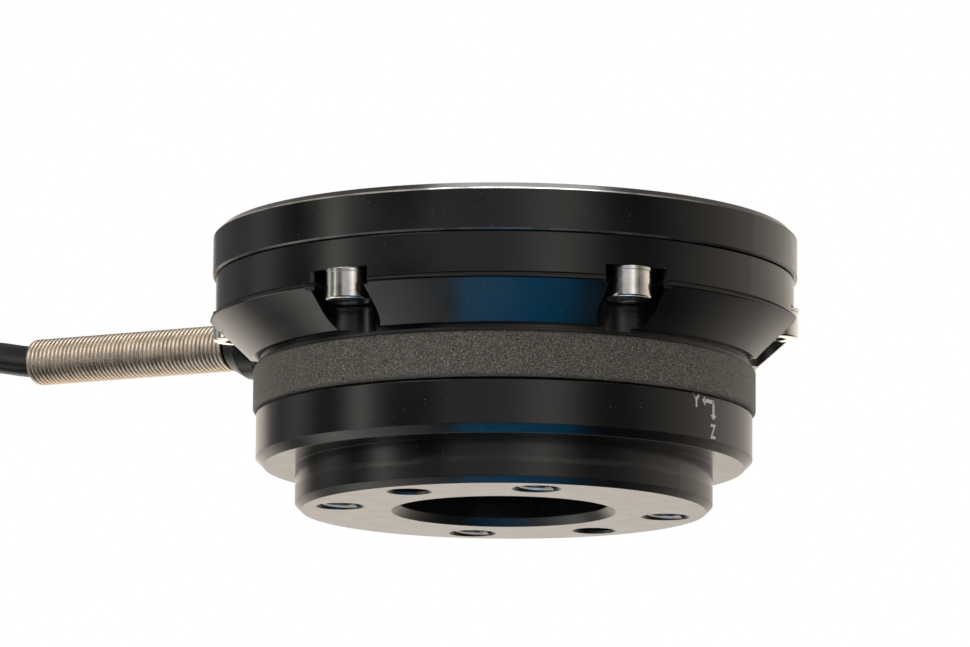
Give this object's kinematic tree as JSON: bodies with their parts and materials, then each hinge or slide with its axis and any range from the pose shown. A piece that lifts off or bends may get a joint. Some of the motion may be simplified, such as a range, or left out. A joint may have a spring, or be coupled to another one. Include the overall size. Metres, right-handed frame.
{
  "type": "force torque sensor",
  "caption": "Round wrist-mounted force torque sensor with coupling plate, conical shroud, textured sealing band, stepped tool flange and side cable with spring strain relief.",
  "frame": {"origin": "centre of the tool-side mounting face", "axes": "+Z from the tool towards the robot along the sensor's axis, +X through the axis mark, cable leaving along -X"},
  "size_m": [0.2126, 0.1127, 0.0472],
  "materials": {
    "black_anodised": "satin black anodised",
    "bare_aluminium": "fine machined",
    "steel": "stainless",
    "spring_steel": "nickel plated wire",
    "nickel": "nickel plated",
    "band_rubber": "granular matt elastomer",
    "seal_rubber": "matt",
    "gauge_foil": "polyimide foil",
    "board_green": "solder mask",
    "chip_black": "moulded",
    "ivory_plastic": "moulded",
    "wire_red": "insulation",
    "gland_black": "satin black anodised",
    "cable_jacket": "smooth polyurethane jacket",
    "gold_brass": "gold plated"
  },
  "bodies": {
    "root": {"coupling_plate": "black_anodised", "robot_dowel_pin": "steel", "coupling_seal": "seal_rubber", "sensor_body": "black_anodised", "cone_shroud": "black_anodised", "sensor_screws": "steel", "screw_washers": "steel", "sealing_band": "band_rubber", "tool_plate": "black_anodised", "thread_inserts": "steel", "load_cell": "bare_aluminium", "strain_gauges": "gauge_foil", "hub_screws": "steel", "cell_screws": "steel", "circuit_board": "board_green", "board_chips": "chip_black", "board_connector": "ivory_plastic", "board_screws": "steel", "conductors": "wire_red", "top_cover": "bare_aluminium", "cover_gasket": "seal_rubber", "cover_screws": "steel", "cable_gland": "gland_black", "cable_ferrule": "steel", "strain_relief_spring": "spring_steel", "cable": "cable_jacket", "cable_coil": "cable_jacket", "cable_tail": "cable_jacket", "cable_ties": "seal_rubber", "connector_body": "chip_black", "connector_nut": "nickel", "connector_insert": "chip_black", "connector_pins": "gold_brass"}
  },
  "joints": []
}
